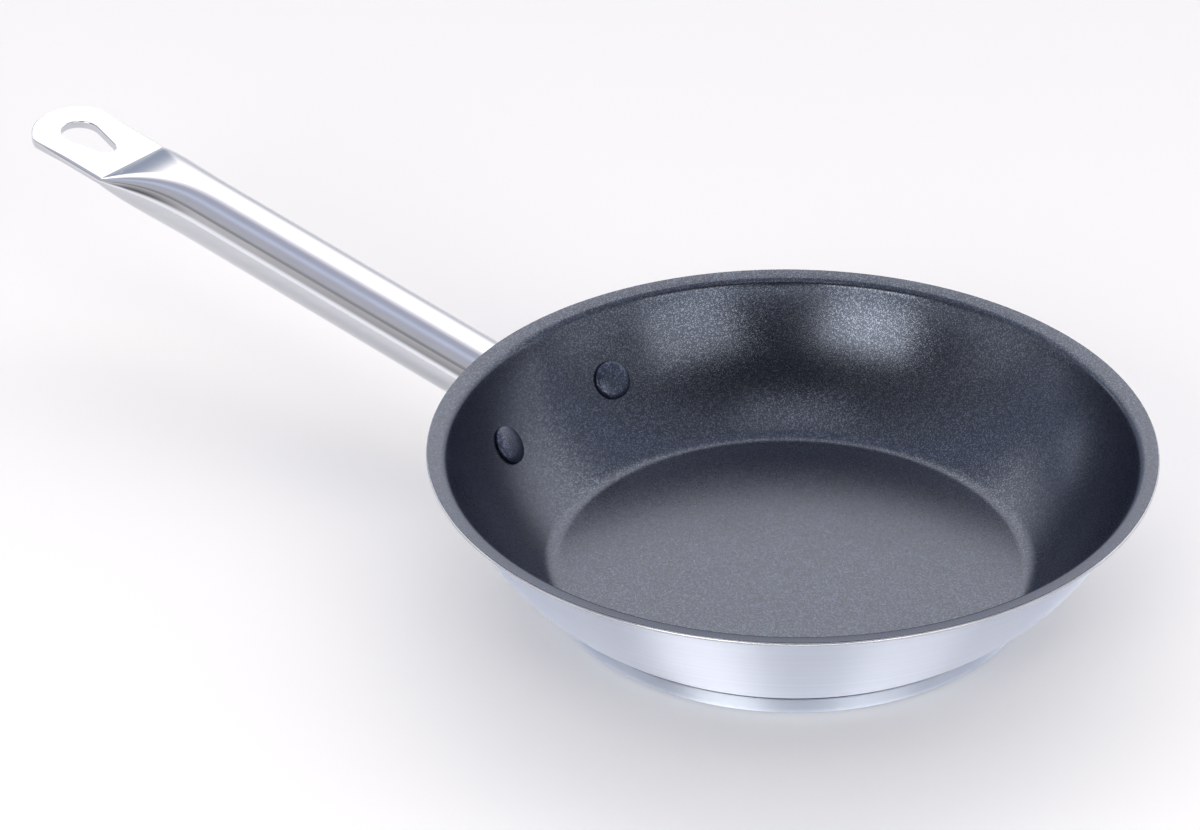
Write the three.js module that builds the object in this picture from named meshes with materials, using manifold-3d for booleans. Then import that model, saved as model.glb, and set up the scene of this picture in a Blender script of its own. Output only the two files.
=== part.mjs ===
// Nonstick frying pan: a drawn steel bowl with a coated inside, an aluminium disc capsuled under its floor,
// and a crimped tubular handle welded to a bracket that two rivets hold to the wall.
// Millimetres, +Z up. The origin is the centre of the underside, and the handle points along -X.

import * as THREE from 'three';
import { mergeVertices } from 'three/addons/utils/BufferGeometryUtils.js';
import Module from 'manifold-3d';

const wasm = await Module();
wasm.setup();

// Bowl
const RIM_DIAMETER = 200;
const RIM_HEIGHT = 43.5;
const LIP_WIDTH = 4.9;
const LIP_RISE = 2;
const LIP_FILLET = 1.2;
const SHELL_SHEET = 0.8;
const FOOT_DIAMETER = 133.4;
const WALL_BULGE = 3.7;
const FLOOR_FILLET = 9;

// Nonstick lining, sprayed on the inside as far as the bare edge of the lip
const COATING = 0.15;
const COATING_GAP = 0.05;
const BARE_EDGE = 0.6;

// Capsuled base
const CAPSULE_SHEET = 0.6;
const CAPSULE_OVERHANG = 1.4;
const CAPSULE_EDGE_RADIUS = 3.1;
const CORE_THICKNESS = 4.2;
const BRAZE_FILM = 0.1;

// Handle tube and its flattened hanging tab
const HANDLE_RISE_DEGREES = 10;
const GRIP_LENGTH = 165.5;
const TUBE_WIDTH = 22.4;
const TUBE_HEIGHT = 18.6;
const TUBE_SHEET = 1.2;
const CRIMP_LENGTH = 42;
const CRIMP_EASE = 3;
const TAB_LENGTH = 36.6;
const TAB_WIDTH = 28.6;
const TAB_THICKNESS = 2.6;
const TAB_END_DEPTH = 12.5;
const TAB_TRIM = 0.5;
const HOLE_OUTER_RADIUS = 6.1;
const HOLE_INNER_RADIUS = 3.3;
const HOLE_SPREAD = 10.5;
const HOLE_LAND = 8.4;

// Bracket, weld and rivets
const BRACKET_SHEET = 2;
const BRACKET_LAND = 4;
const WELD_LEG = 2.5;
const WELD_CROWN = 0.4;
const RIVET_SPACING = 47.4;
const RIVET_RISE = 0.7;
const RIVET_SHANK_DIAMETER = 4.8;
const RIVET_HEAD_DIAMETER = 11.3;
const RIVET_HEAD_HEIGHT = 1.7;
const RIVET_TAIL_DIAMETER = 8.4;
const RIVET_TAIL_HEIGHT = 1.9;
const RIVET_EDGE = 0.4;

// Clearances between neighbouring pieces
const SEAT_GAP = 0.3;
const HOLE_CLEARANCE = 0.3;
const WALL_END_GAP = 1;

// Fineness of the round surfaces
const BOWL_SEGMENTS = 60;
const BRACKET_SEGMENTS = 96;
const RIVET_SEGMENTS = 18;
const TUBE_SIDES = 32;
const WELD_STEPS = 40;
const CRIMP_STEPS = 8;
const WALL_STEPS = 6;
const COPE_STEPS = 24;
const FILLET_STEPS = 3;
const CURVE_STEPS = 8;
const HALVINGS = 40;

const { abs, sin, cos, atan2, hypot, sqrt, acos, asin, PI } = Math;
const { lerp, clamp, degToRad } = THREE.MathUtils;
const UP = new THREE.Vector3(0, 0, 1);

const steel = { color: 0xc9ccd2, roughness: 0.28, metalness: 1 };
const lining = { color: 0x3c4048, roughness: 0.55, metalness: 0.1 };
const aluminium = { color: 0xb4b6b8, roughness: 0.5, metalness: 1 };

// Cleaning, joining and cutting

function weldVertices(geometry) {
  const bare = geometry.clone();
  bare.deleteAttribute('normal');
  bare.deleteAttribute('uv');
  const merged = mergeVertices(bare);
  const corners = merged.index.array;
  const kept = [];
  for (let i = 0; i < corners.length; i += 3) {
    const [a, b, c] = corners.slice(i, i + 3);
    if (a !== b && b !== c && c !== a) kept.push(a, b, c);
  }
  merged.setIndex(kept);
  if (signedVolume(merged) < 0) merged.setIndex(kept.reverse());
  return merged;
}

function signedVolume(geometry) {
  const { index, attributes } = geometry;
  const corner = (i) => new THREE.Vector3().fromBufferAttribute(attributes.position, index.getX(i));
  let volume = 0;
  for (let i = 0; i < index.count; i += 3) {
    volume += corner(i).dot(corner(i + 1).cross(corner(i + 2))) / 6;
  }
  return volume;
}

function toSolid(geometry) {
  const welded = weldVertices(geometry);
  const vertProperties = welded.attributes.position.array;
  const triVerts = new Uint32Array(welded.index.array);
  return new wasm.Manifold(new wasm.Mesh({ numProp: 3, vertProperties, triVerts }));
}

function toGeometry(solid) {
  const { vertProperties, triVerts } = solid.getMesh();
  const geometry = new THREE.BufferGeometry();
  geometry.setAttribute('position', new THREE.BufferAttribute(vertProperties, 3));
  geometry.setIndex(new THREE.BufferAttribute(triVerts, 1));
  return geometry;
}

function piece(name, geometry, finish) {
  const shape = weldVertices(geometry);
  shape.computeVertexNormals();
  const mesh = new THREE.Mesh(shape, new THREE.MeshStandardMaterial(finish));
  mesh.name = name;
  return mesh;
}

// Shapes from outlines and sections

function revolve(points, segments) {
  return new THREE.LatheGeometry(points, segments).rotateX(PI / 2);
}

function extrude(outline, depth) {
  return new THREE.ExtrudeGeometry(outline, { depth, bevelEnabled: false, curveSegments: CURVE_STEPS });
}

function arc(centre, radius, from, to, steps) {
  const clockwise = to < from;
  return new THREE.EllipseCurve(centre.x, centre.y, radius, radius, from, to, clockwise).getPoints(steps);
}

// Angle of the radius to the point where a belt leaves one circle for the next, going counter-clockwise.
function beltAngle(from, to) {
  const across = to.x - from.x;
  const along = to.y - from.y;
  return atan2(along, across) - acos((from.radius - to.radius) / hypot(across, along));
}

// Outline of a belt pulled tight round circles that are listed counter-clockwise.
function belt(circles) {
  const outline = new THREE.Shape();
  circles.forEach((circle, i) => {
    const before = circles.at(i - 1);
    const after = circles[(i + 1) % circles.length];
    outline.absarc(circle.x, circle.y, circle.radius, beltAngle(before, circle), beltAngle(circle, after));
  });
  return outline;
}

// Skin over equal sections, closed into a loop or capped by a fan at each end.
function skin(sections, looped) {
  const sides = sections[0].length;
  const points = sections.flat();
  const faces = [];
  const joins = looped ? sections.length : sections.length - 1;
  for (let s = 0; s < joins; s += 1) {
    const next = (s + 1) % sections.length;
    for (let i = 0; i < sides; i += 1) {
      const j = (i + 1) % sides;
      const [a, b, c, d] = [s * sides + i, s * sides + j, next * sides + j, next * sides + i];
      faces.push(a, b, c, a, c, d);
    }
  }
  const capAt = (s, turned) => {
    const hub = points.length;
    const total = sections[s].reduce((sum, p) => sum.add(p), new THREE.Vector3());
    points.push(total.divideScalar(sides));
    for (let i = 0; i < sides; i += 1) {
      const [a, b] = [s * sides + i, s * sides + ((i + 1) % sides)];
      faces.push(...(turned ? [hub, b, a] : [hub, a, b]));
    }
  };
  if (!looped) {
    capAt(0, true);
    capAt(sections.length - 1, false);
  }
  const geometry = new THREE.BufferGeometry().setFromPoints(points);
  geometry.setIndex(faces);
  return geometry;
}

// Generatrix of the bowl's outside: flat underside, floor fillet, bulged wall, lip fillet and straight lip

const underside = CAPSULE_SHEET + CORE_THICKNESS + 2 * BRAZE_FILM;
const rim = new THREE.Vector2(RIM_DIAMETER / 2, RIM_HEIGHT);
const foot = new THREE.Vector2(FOOT_DIAMETER / 2, underside);
const lipRoot = new THREE.Vector2(rim.x - LIP_WIDTH, rim.y - LIP_RISE);

const wall = (() => {
  const chord = lipRoot.clone().sub(foot);
  const half = chord.length() / 2;
  const radius = (half ** 2 + WALL_BULGE ** 2) / (2 * WALL_BULGE);
  const inward = new THREE.Vector2(-chord.y, chord.x).normalize();
  const centre = foot.clone().add(lipRoot).divideScalar(2).addScaledVector(inward, radius - WALL_BULGE);
  return { centre, radius, top: atan2(lipRoot.y - centre.y, lipRoot.x - centre.x) };
})();

const fillet = (() => {
  const height = underside + FLOOR_FILLET;
  const reach = sqrt((wall.radius - FLOOR_FILLET) ** 2 - (height - wall.centre.y) ** 2);
  const centre = new THREE.Vector2(wall.centre.x + reach, height);
  return { centre, radius: FLOOR_FILLET, end: atan2(height - wall.centre.y, reach) };
})();

const lip = (() => {
  const outward = lipRoot.clone().sub(wall.centre).normalize();
  const centre = lipRoot.clone().addScaledVector(outward, LIP_FILLET);
  const toRim = rim.clone().sub(centre);
  const end = toRim.angle() + acos(LIP_FILLET / toRim.length());
  const normal = new THREE.Vector2(cos(end), sin(end));
  const along = new THREE.Vector2(normal.y, -normal.x);
  return { centre, radius: LIP_FILLET, start: wall.top + PI, end, normal, along };
})();

// The generatrix moved inwards by an offset, and stopped short of the rim by a trim.
function bowlCurve(offset, trim) {
  const edge = rim.clone().addScaledVector(lip.normal, offset).addScaledVector(lip.along, -trim);
  const bend = arc(fillet.centre, fillet.radius - offset, -PI / 2, fillet.end, FILLET_STEPS);
  const side = arc(wall.centre, wall.radius - offset, fillet.end, wall.top, WALL_STEPS);
  const flare = arc(lip.centre, lip.radius + offset, lip.start, lip.end, FILLET_STEPS);
  return [new THREE.Vector2(0, underside + offset), ...bend, ...side.slice(1), ...flare.slice(1), edge];
}

function bowlLayer(near, far, trim) {
  return revolve([...bowlCurve(near, trim), ...bowlCurve(far, trim).reverse()], BOWL_SEGMENTS);
}

// Height of the bowl's outside above a radius near its foot.
function outsideHeight(radius) {
  if (radius <= fillet.centre.x) return underside;
  const filletEnd = fillet.centre.x + fillet.radius * cos(fillet.end);
  const { centre, radius: bend } = radius < filletEnd ? fillet : wall;
  return centre.y - sqrt(bend ** 2 - (radius - centre.x) ** 2);
}

// Radius of the bowl's outside at a height on its wall.
function outsideRadius(height) {
  return wall.centre.x + sqrt(wall.radius ** 2 - (height - wall.centre.y) ** 2);
}

const mountHeight = (foot.y + lipRoot.y) / 2;
const rivetHeight = mountHeight + RIVET_RISE;

// Rivets: a low domed head inside, a shank through lining, wall and bracket, and an upset tail outside

const bracketFace = SEAT_GAP + BRACKET_SHEET;
const liningFace = SHELL_SHEET + COATING_GAP + COATING;

function rivetGeometry() {
  const headRadius = RIVET_HEAD_DIAMETER / 2;
  const tailRadius = RIVET_TAIL_DIAMETER / 2;
  const shankRadius = RIVET_SHANK_DIAMETER / 2;
  const wallHollow = headRadius ** 2 / (2 * (wall.radius - liningFace));
  const headSeat = liningFace + SEAT_GAP + wallHollow;
  const tailSeat = -bracketFace - SEAT_GAP;
  const outline = new THREE.Path();
  const tailDome = RIVET_TAIL_HEIGHT - RIVET_EDGE;
  const headDome = RIVET_HEAD_HEIGHT - RIVET_EDGE;
  outline.absellipse(0, tailSeat - RIVET_EDGE, tailRadius, tailDome, -PI / 2, 0);
  outline.lineTo(tailRadius, tailSeat);
  outline.lineTo(shankRadius, tailSeat);
  outline.lineTo(shankRadius, headSeat);
  outline.lineTo(headRadius, headSeat);
  outline.absellipse(0, headSeat + RIVET_EDGE, headRadius, headDome, 0, PI / 2);
  return revolve(outline.getPoints(FILLET_STEPS + 1), RIVET_SEGMENTS);
}

function rivetPlace(side) {
  const radius = outsideRadius(rivetHeight);
  const turn = PI - side * asin(RIVET_SPACING / 2 / radius);
  const out = new THREE.Vector2(radius, rivetHeight).sub(wall.centre).normalize();
  const inward = new THREE.Vector3(-out.x * cos(turn), -out.x * sin(turn), -out.y);
  const position = new THREE.Vector3(radius * cos(turn), radius * sin(turn), rivetHeight);
  const quaternion = new THREE.Quaternion().setFromUnitVectors(UP, inward);
  return { position, quaternion };
}

const rivetSides = { rivet_left: 1, rivet_right: -1 };
const rivets = Object.entries(rivetSides).map(([name, side]) => {
  const mesh = piece(name, rivetGeometry(), lining);
  const { position, quaternion } = rivetPlace(side);
  mesh.position.copy(position);
  mesh.quaternion.copy(quaternion);
  mesh.updateMatrix();
  return mesh;
});

function drillRivetHoles(solid) {
  const radius = RIVET_SHANK_DIAMETER / 2 + HOLE_CLEARANCE;
  const depth = 2 * (bracketFace + liningFace) + RIVET_HEAD_DIAMETER;
  return rivets.reduce((left, rivet) => {
    const drill = new THREE.CylinderGeometry(radius, radius, depth, RIVET_SEGMENTS).rotateX(PI / 2);
    return left.subtract(toSolid(drill.applyMatrix4(rivet.matrix)));
  }, solid);
}

// Bowl and lining

function drilledLayer(near, far, trim) {
  return toGeometry(drillRivetHoles(toSolid(bowlLayer(near, far, trim))));
}

const shell = drilledLayer(0, SHELL_SHEET, 0);
const coat = drilledLayer(SHELL_SHEET + COATING_GAP, liningFace, BARE_EDGE);

// Base: a flat dish pressed round the aluminium disc, its rim just under the bowl's foot

const capsuleRadius = foot.x + CAPSULE_OVERHANG;

function dishCurve(offset) {
  const centre = new THREE.Vector2(capsuleRadius - CAPSULE_EDGE_RADIUS, CAPSULE_EDGE_RADIUS);
  const edge = arc(centre, CAPSULE_EDGE_RADIUS - offset, -PI / 2, 0, FILLET_STEPS);
  return [new THREE.Vector2(0, offset), ...edge];
}

function capsuleGeometry() {
  const inner = capsuleRadius - CAPSULE_SHEET;
  const top = outsideHeight(inner) - SEAT_GAP;
  const brim = [new THREE.Vector2(capsuleRadius, top), new THREE.Vector2(inner, top)];
  return revolve([...dishCurve(0), ...brim, ...dishCurve(CAPSULE_SHEET).reverse()], BOWL_SEGMENTS);
}

function coreGeometry() {
  const inset = CAPSULE_SHEET + BRAZE_FILM;
  const top = underside - BRAZE_FILM;
  const edge = [new THREE.Vector2(capsuleRadius - inset, top), new THREE.Vector2(0, top)];
  return revolve([...dishCurve(inset), ...edge], BOWL_SEGMENTS);
}

// Bracket: a plate bent to the wall, its outline a belt round the tube's foot and the two rivets

const bracketGeometry = (() => {
  const hub = { x: 0, y: mountHeight, radius: TUBE_HEIGHT / 2 + WELD_LEG + BRACKET_LAND };
  const wing = (side) => ({
    x: side * RIVET_SPACING / 2,
    y: rivetHeight,
    radius: RIVET_TAIL_DIAMETER / 2 + BRACKET_LAND,
  });
  const outline = belt([wing(1), hub, wing(-1), hub]);
  const stamp = extrude(outline, rim.x);
  const alongX = new THREE.Matrix4().makeBasis(
    new THREE.Vector3(0, 1, 0),
    new THREE.Vector3(0, 0, 1),
    new THREE.Vector3(1, 0, 0),
  );
  stamp.applyMatrix4(alongX).translate(-rim.x - bracketFace, 0, 0);
  const low = foot.y + WALL_END_GAP;
  const high = lipRoot.y - WALL_END_GAP;
  const turnAt = (height) => asin((height - wall.centre.y) / wall.radius);
  const face = (offset) => arc(wall.centre, wall.radius + offset, turnAt(low), turnAt(high), WALL_STEPS);
  const near = face(SEAT_GAP);
  const far = face(bracketFace).reverse();
  const band = revolve([...near, ...far, near[0]], BRACKET_SEGMENTS);
  return toGeometry(drillRivetHoles(toSolid(band).intersect(toSolid(stamp))));
})();

// Handle: local +X runs out along the tube from the wall, +Z is the upper side

const handle = new THREE.Group();
handle.position.set(-outsideRadius(mountHeight) - bracketFace, 0, mountHeight);
handle.rotation.set(0, -degToRad(HANDLE_RISE_DEGREES), PI, 'ZYX');
handle.updateMatrix();
const bowlToHandle = handle.matrix.clone().invert();

const copeAllowance = TUBE_HEIGHT + BRACKET_LAND;
const crimpStart = GRIP_LENGTH - CRIMP_LENGTH;

// Section of the tube between its oval grip (flatness 0) and the crease of the flat tab (flatness 1), less a
// skin. The sheet keeps its girth, so the section widens as it is pressed flat.
function tubeSection(x, flatness, less) {
  const grip = 1 - flatness ** CRIMP_EASE;
  const halfTab = new THREE.Vector2(TAB_WIDTH, TAB_THICKNESS).divideScalar(2);
  const halfTube = new THREE.Vector2(TUBE_WIDTH, TUBE_HEIGHT).divideScalar(2);
  const halfHeight = lerp(halfTab.y, halfTube.y, grip);
  const halfWidth = sqrt(lerp(halfTab.lengthSq(), halfTube.lengthSq(), grip) - halfHeight ** 2);
  return Array.from({ length: TUBE_SIDES }, (_, i) => {
    const turn = (2 * PI * i) / TUBE_SIDES;
    const fold = clamp(abs(cos(turn)) * halfTab.x - (halfTab.x - halfTab.y), 0, halfTab.y);
    const flat = Math.sign(sin(turn)) * sqrt(halfTab.y ** 2 - fold ** 2);
    const y = cos(turn) * (halfWidth - less);
    const z = lerp(flat, halfTube.y * sin(turn), grip) * (1 - less / halfHeight);
    return new THREE.Vector3(x, y, z);
  });
}

function tubeBody(less, lastStep) {
  const rings = [tubeSection(-copeAllowance, 0, less)];
  for (let step = 0; step <= lastStep; step += 1) {
    const flatness = step / CRIMP_STEPS;
    rings.push(tubeSection(crimpStart + CRIMP_LENGTH * flatness, flatness, less));
  }
  return rings;
}

// Solid of revolution that the foot of the tube is coped to, in the handle's own frame.
function copeSolid() {
  const side = arc(wall.centre, wall.radius + bracketFace + SEAT_GAP, -PI / 2, wall.top, COPE_STEPS);
  const last = side.at(-1);
  const profile = [new THREE.Vector2(0, side[0].y), ...side, new THREE.Vector2(0, last.y)];
  return toSolid(revolve(profile, BRACKET_SEGMENTS).applyMatrix4(bowlToHandle));
}

function tabTrim() {
  const half = TAB_WIDTH / 2 + TAB_TRIM;
  const shoulder = GRIP_LENGTH + TAB_LENGTH - TAB_END_DEPTH;
  const outline = new THREE.Shape();
  outline.moveTo(-copeAllowance - half, -half);
  outline.lineTo(shoulder, -half);
  outline.absellipse(shoulder, 0, TAB_END_DEPTH, half, -PI / 2, PI / 2);
  outline.lineTo(-copeAllowance - half, half);
  return outline;
}

function hangHole() {
  const outer = GRIP_LENGTH + TAB_LENGTH - HOLE_LAND - HOLE_OUTER_RADIUS;
  return belt([
    { x: outer, y: 0, radius: HOLE_OUTER_RADIUS },
    { x: outer - HOLE_SPREAD, y: 0, radius: HOLE_INNER_RADIUS },
  ]);
}

function throughHandle(outline) {
  const depth = 2 * TUBE_HEIGHT;
  return toSolid(extrude(outline, depth).translate(0, 0, -depth / 2));
}

const tubeGeometry = (() => {
  const tip = tubeSection(GRIP_LENGTH + TAB_LENGTH + TAB_END_DEPTH, 1, 0);
  const outside = toSolid(skin([...tubeBody(0, CRIMP_STEPS), tip], false));
  const bore = toSolid(skin(tubeBody(TUBE_SHEET, CRIMP_STEPS - 1), false));
  const tube = outside.intersect(throughHandle(tabTrim())).subtract(throughHandle(hangHole()));
  return toGeometry(tube.subtract(bore).subtract(copeSolid()));
})();

// Fillet weld round the foot of the tube, laid against the bracket

const weldGeometry = (() => {
  const face = wall.radius + bracketFace + SEAT_GAP;
  const halfWidth = TUBE_WIDTH / 2 + SEAT_GAP;
  const halfHeight = TUBE_HEIGHT / 2 + SEAT_GAP;
  const axis = new THREE.Vector3(1, 0, 0);
  const meridian = (local) => {
    const point = local.clone().applyMatrix4(handle.matrix);
    const radius = hypot(point.x, point.y);
    const offset = new THREE.Vector2(radius, point.z).sub(wall.centre);
    return { point, radius, offset };
  };
  const rootAt = (y, z) => {
    let [inside, outside] = [-copeAllowance, copeAllowance];
    for (let halving = 0; halving < HALVINGS; halving += 1) {
      const middle = (inside + outside) / 2;
      if (meridian(new THREE.Vector3(middle, y, z)).offset.length() < face) inside = middle;
      else outside = middle;
    }
    return new THREE.Vector3(outside, y, z);
  };
  const sections = Array.from({ length: WELD_STEPS }, (_, i) => {
    const turn = (2 * PI * i) / WELD_STEPS;
    const root = rootAt(halfWidth * cos(turn), halfHeight * sin(turn));
    const { point, radius, offset } = meridian(root);
    const lean = offset.normalize();
    const plateNormal = new THREE.Vector3(lean.x * point.x / radius, lean.x * point.y / radius, lean.y);
    plateNormal.transformDirection(bowlToHandle);
    const away = new THREE.Vector3(0, cos(turn) / halfWidth, sin(turn) / halfHeight).normalize();
    const alongPlate = away.clone().addScaledVector(plateNormal, -away.dot(plateNormal)).normalize();
    const onTube = root.clone().addScaledVector(axis, WELD_LEG);
    const onPlate = root.clone().addScaledVector(alongPlate, WELD_LEG);
    const crown = onTube.clone().add(onPlate).divideScalar(2);
    const outward = crown.clone().sub(root).normalize();
    return [root, onTube, crown.addScaledVector(outward, WELD_CROWN), onPlate];
  });
  return skin(sections, true);
})();

handle.add(piece('handle_tube', tubeGeometry, steel), piece('handle_weld', weldGeometry, steel));

const pan = new THREE.Group();
pan.add(
  piece('pan_shell', shell, steel),
  piece('nonstick_coating', coat, lining),
  piece('base_core', coreGeometry(), aluminium),
  piece('base_capsule', capsuleGeometry(), steel),
  piece('handle_bracket', bracketGeometry, steel),
  handle,
  ...rivets,
);

export default pan;
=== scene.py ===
"""Looks of a nonstick frying pan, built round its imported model.

Metres, +Z up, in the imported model's frame: the origin is the centre of the underside and the handle
runs out along -X. Each piece is a finer mesh of the solid that it stands for, with its own finish.
"""

import logging
import math
from collections.abc import Callable, Sequence
from dataclasses import dataclass, field
from enum import Enum
from functools import cached_property
from typing import Any

import bmesh
import bpy
import numpy as np
from mathutils import Matrix, Vector


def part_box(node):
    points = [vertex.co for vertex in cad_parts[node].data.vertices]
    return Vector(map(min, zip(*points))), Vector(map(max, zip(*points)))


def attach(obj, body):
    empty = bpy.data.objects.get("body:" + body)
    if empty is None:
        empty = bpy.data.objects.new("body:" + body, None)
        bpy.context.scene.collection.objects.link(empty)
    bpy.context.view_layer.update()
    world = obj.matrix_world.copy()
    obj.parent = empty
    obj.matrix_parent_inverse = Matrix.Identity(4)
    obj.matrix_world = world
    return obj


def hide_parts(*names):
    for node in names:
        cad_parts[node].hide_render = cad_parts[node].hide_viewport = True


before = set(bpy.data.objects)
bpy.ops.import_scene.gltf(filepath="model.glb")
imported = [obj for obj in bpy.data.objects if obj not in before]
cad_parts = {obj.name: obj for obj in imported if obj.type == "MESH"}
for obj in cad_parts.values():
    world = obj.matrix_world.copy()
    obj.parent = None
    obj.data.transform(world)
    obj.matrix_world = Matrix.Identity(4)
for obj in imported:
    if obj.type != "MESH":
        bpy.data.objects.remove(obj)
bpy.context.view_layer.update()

BODY = "root"
AXIS_RADIUS = 1e-9
HALVINGS = 48
SHARP_ANGLE = math.radians(50)
QUARTER_TURN = 0.25
SIGN_DECIMALS = 9

Colour = tuple[float, float, float]
Span = tuple[float, float]
Rows = np.ndarray
Mesh = bpy.types.Mesh
Material = bpy.types.Material
Tree = bpy.types.NodeTree
Output = bpy.types.NodeSocket
log = logging.getLogger("frying_pan")


# Meshes


@dataclass
class Surface:
    """Points and faces of one closed piece while it is being built."""

    points: list[Sequence[float]] = field(default_factory=list)
    faces: list[tuple[int, ...]] = field(default_factory=list)

    def add(self, rows: Rows | Sequence[Sequence[float]]) -> list[int]:
        """Adds points.

        Args:
            rows: one row of three coordinates for each point.

        Returns:
            The numbers of the new points.
        """
        first = len(self.points)
        self.points.extend(tuple(map(float, row)) for row in rows)
        return list(range(first, len(self.points)))

    def bridge(self, row: Sequence[int], after: Sequence[int], closed: bool = True) -> None:
        """Joins two rows of points by a band of faces; a row of one point makes a fan.

        Args:
            row: numbers of the first row's points.
            after: numbers of the second row's points.
            closed: whether the band runs on from the last points to the first.
        """
        count = max(len(row), len(after))
        for i in range(count if closed else count - 1):
            j = (i + 1) % count
            corners = [row[i % len(row)], row[j % len(row)], after[j % len(after)], after[i % len(after)]]
            face = tuple(dict.fromkeys(corners))
            if len(face) > 2:
                self.faces.append(face)

    def bridge_all(self, rows: Sequence[Sequence[int]], looped: bool = False) -> None:
        """Joins rows of points one after another.

        Args:
            rows: numbers of the points in each row.
            looped: whether the last row is joined to the first.
        """
        for row, after in zip(rows, rows[1:]):
            self.bridge(row, after)
        if looped:
            self.bridge(rows[-1], rows[0])

    def moved(self, place: Matrix) -> "Surface":
        """Places the surface.

        Args:
            place: transform from the surface's own frame.

        Returns:
            The same faces on the moved points.
        """
        return Surface([tuple(place @ Vector(point)) for point in self.points], self.faces)

    def mesh(self, name: str) -> Mesh:
        """Makes a mesh with smooth faces that point out.

        Args:
            name: name of the mesh.

        Returns:
            The mesh, with edges marked sharp where the surface turns a corner.
        """
        mesh = bpy.data.meshes.new(name)
        mesh.from_pydata(self.points, [], self.faces)
        work = bmesh.new()
        work.from_mesh(mesh)
        bmesh.ops.recalc_face_normals(work, faces=work.faces)
        work.to_mesh(mesh)
        work.free()
        mesh.shade_smooth()
        mesh.set_sharp_from_angle(angle=SHARP_ANGLE)
        return mesh


def revolve(outline: Rows, segments: int) -> Surface:
    """Turns an outline about Z.

    Args:
        outline: rows of radius and height that close on themselves or on the axis.
        segments: number of steps round the axis.

    Returns:
        The closed surface.
    """
    surface = Surface()
    turns = np.linspace(0, 2 * math.pi, segments, endpoint=False)
    rows = []
    for radius, height in outline:
        if radius < AXIS_RADIUS:
            rows.append(surface.add([(0, 0, height)]))
        else:
            level = np.full(segments, height)
            rows.append(surface.add(np.c_[radius * np.cos(turns), radius * np.sin(turns), level]))
    surface.bridge_all(rows, looped=True)
    return surface


def halve(inside: Callable[[Rows], Rows], low: Rows, high: Rows) -> Rows:
    """Finds where a test turns false, by halving.

    Args:
        inside: test that is true at low and false at high.
        low: start of each range.
        high: end of each range.

    Returns:
        The turning point of each range.
    """
    for _ in range(HALVINGS):
        middle = (low + high) / 2
        held = inside(middle)
        low = np.where(held, middle, low)
        high = np.where(held, high, middle)
    return high


def belt_distance(points: Rows, start: Rows, start_radius: float, end: Rows, end_radius: float) -> Rows:
    """Measures how far points lie outside a belt pulled tight round two circles.

    Args:
        points: rows of plane coordinates.
        start: centre of the first circle.
        start_radius: its radius.
        end: centre of the second circle.
        end_radius: its radius.

    Returns:
        One distance for each point, negative inside.
    """
    reach = np.linalg.norm(end - start)
    along = (end - start) / reach
    offset = points - start
    up = offset @ along
    out = np.abs(offset @ np.array([-along[1], along[0]]))
    lean = (start_radius - end_radius) / reach
    rise = math.sqrt(1 - lean**2)
    place = up * rise - out * lean
    at_start = np.hypot(out, up) - start_radius
    at_end = np.hypot(out, up - reach) - end_radius
    at_side = out * rise + up * lean - start_radius
    return np.where(place < 0, at_start, np.where(place > rise * reach, at_end, at_side))


def smoothstep(share: Rows) -> Rows:
    """Eases a share of 0 to 1 in and out."""
    held = np.clip(share, 0, 1)
    return held * held * (3 - 2 * held)


def install(mesh: Mesh, node: str, finishes: Sequence[Material]) -> None:
    """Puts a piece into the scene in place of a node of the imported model.

    Args:
        mesh: the piece's mesh, which also gives its name.
        node: the node that it stands for.
        finishes: its materials, in the order of its faces' material numbers.
    """
    for finish in finishes:
        mesh.materials.append(finish)
    piece = bpy.data.objects.new(mesh.name, mesh)
    bpy.context.scene.collection.objects.link(piece)
    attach(piece, BODY)
    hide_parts(node)
    log.info("%s stands for %s: %d faces", piece.name, node, len(mesh.polygons))


def drill(mesh: Mesh, places: Sequence[Matrix], radius: float, depth: float, sides: int) -> Mesh:
    """Bores round holes through a mesh.

    Args:
        mesh: the closed mesh to bore.
        places: where each hole's axis, its own Z, crosses the sheet.
        radius: radius of the holes.
        depth: length of the drill, centred on its place.
        sides: number of sides of a hole.

    Returns:
        A new mesh with the holes.
    """
    outline = np.array([[0, -depth / 2], [radius, -depth / 2], [radius, depth / 2], [0, depth / 2]])
    blank = bpy.data.objects.new(mesh.name, mesh)
    bpy.context.scene.collection.objects.link(blank)
    bits = []
    for place in places:
        bit = bpy.data.objects.new("drill", revolve(outline, sides).moved(place).mesh("drill"))
        bpy.context.scene.collection.objects.link(bit)
        cut = blank.modifiers.new("hole", "BOOLEAN")
        cut.operation = "DIFFERENCE"
        cut.solver = "EXACT"
        cut.object = bit
        bits.append(bit)
    graph = bpy.context.evaluated_depsgraph_get()
    bored = bpy.data.meshes.new_from_object(blank.evaluated_get(graph))
    name = mesh.name
    for spare in (blank, *bits):
        bpy.data.meshes.remove(spare.data)
    bored.name = name
    bored.shade_smooth()
    bored.set_sharp_from_angle(angle=SHARP_ANGLE)
    return bored


# Forms that the pieces share


@dataclass(frozen=True)
class Bend:
    """Circular arc in the plane of radius and height."""

    centre: Rows
    radius: float
    start: float
    end: float

    def rows(self, offset: float, steps: int) -> Rows:
        """Gives points along the arc.

        Args:
            offset: change of the arc's radius.
            steps: number of steps along it.

        Returns:
            Rows of radius and height.
        """
        turns = np.linspace(self.start, self.end, steps + 1)
        return self.centre + (self.radius + offset) * np.c_[np.cos(turns), np.sin(turns)]


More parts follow.
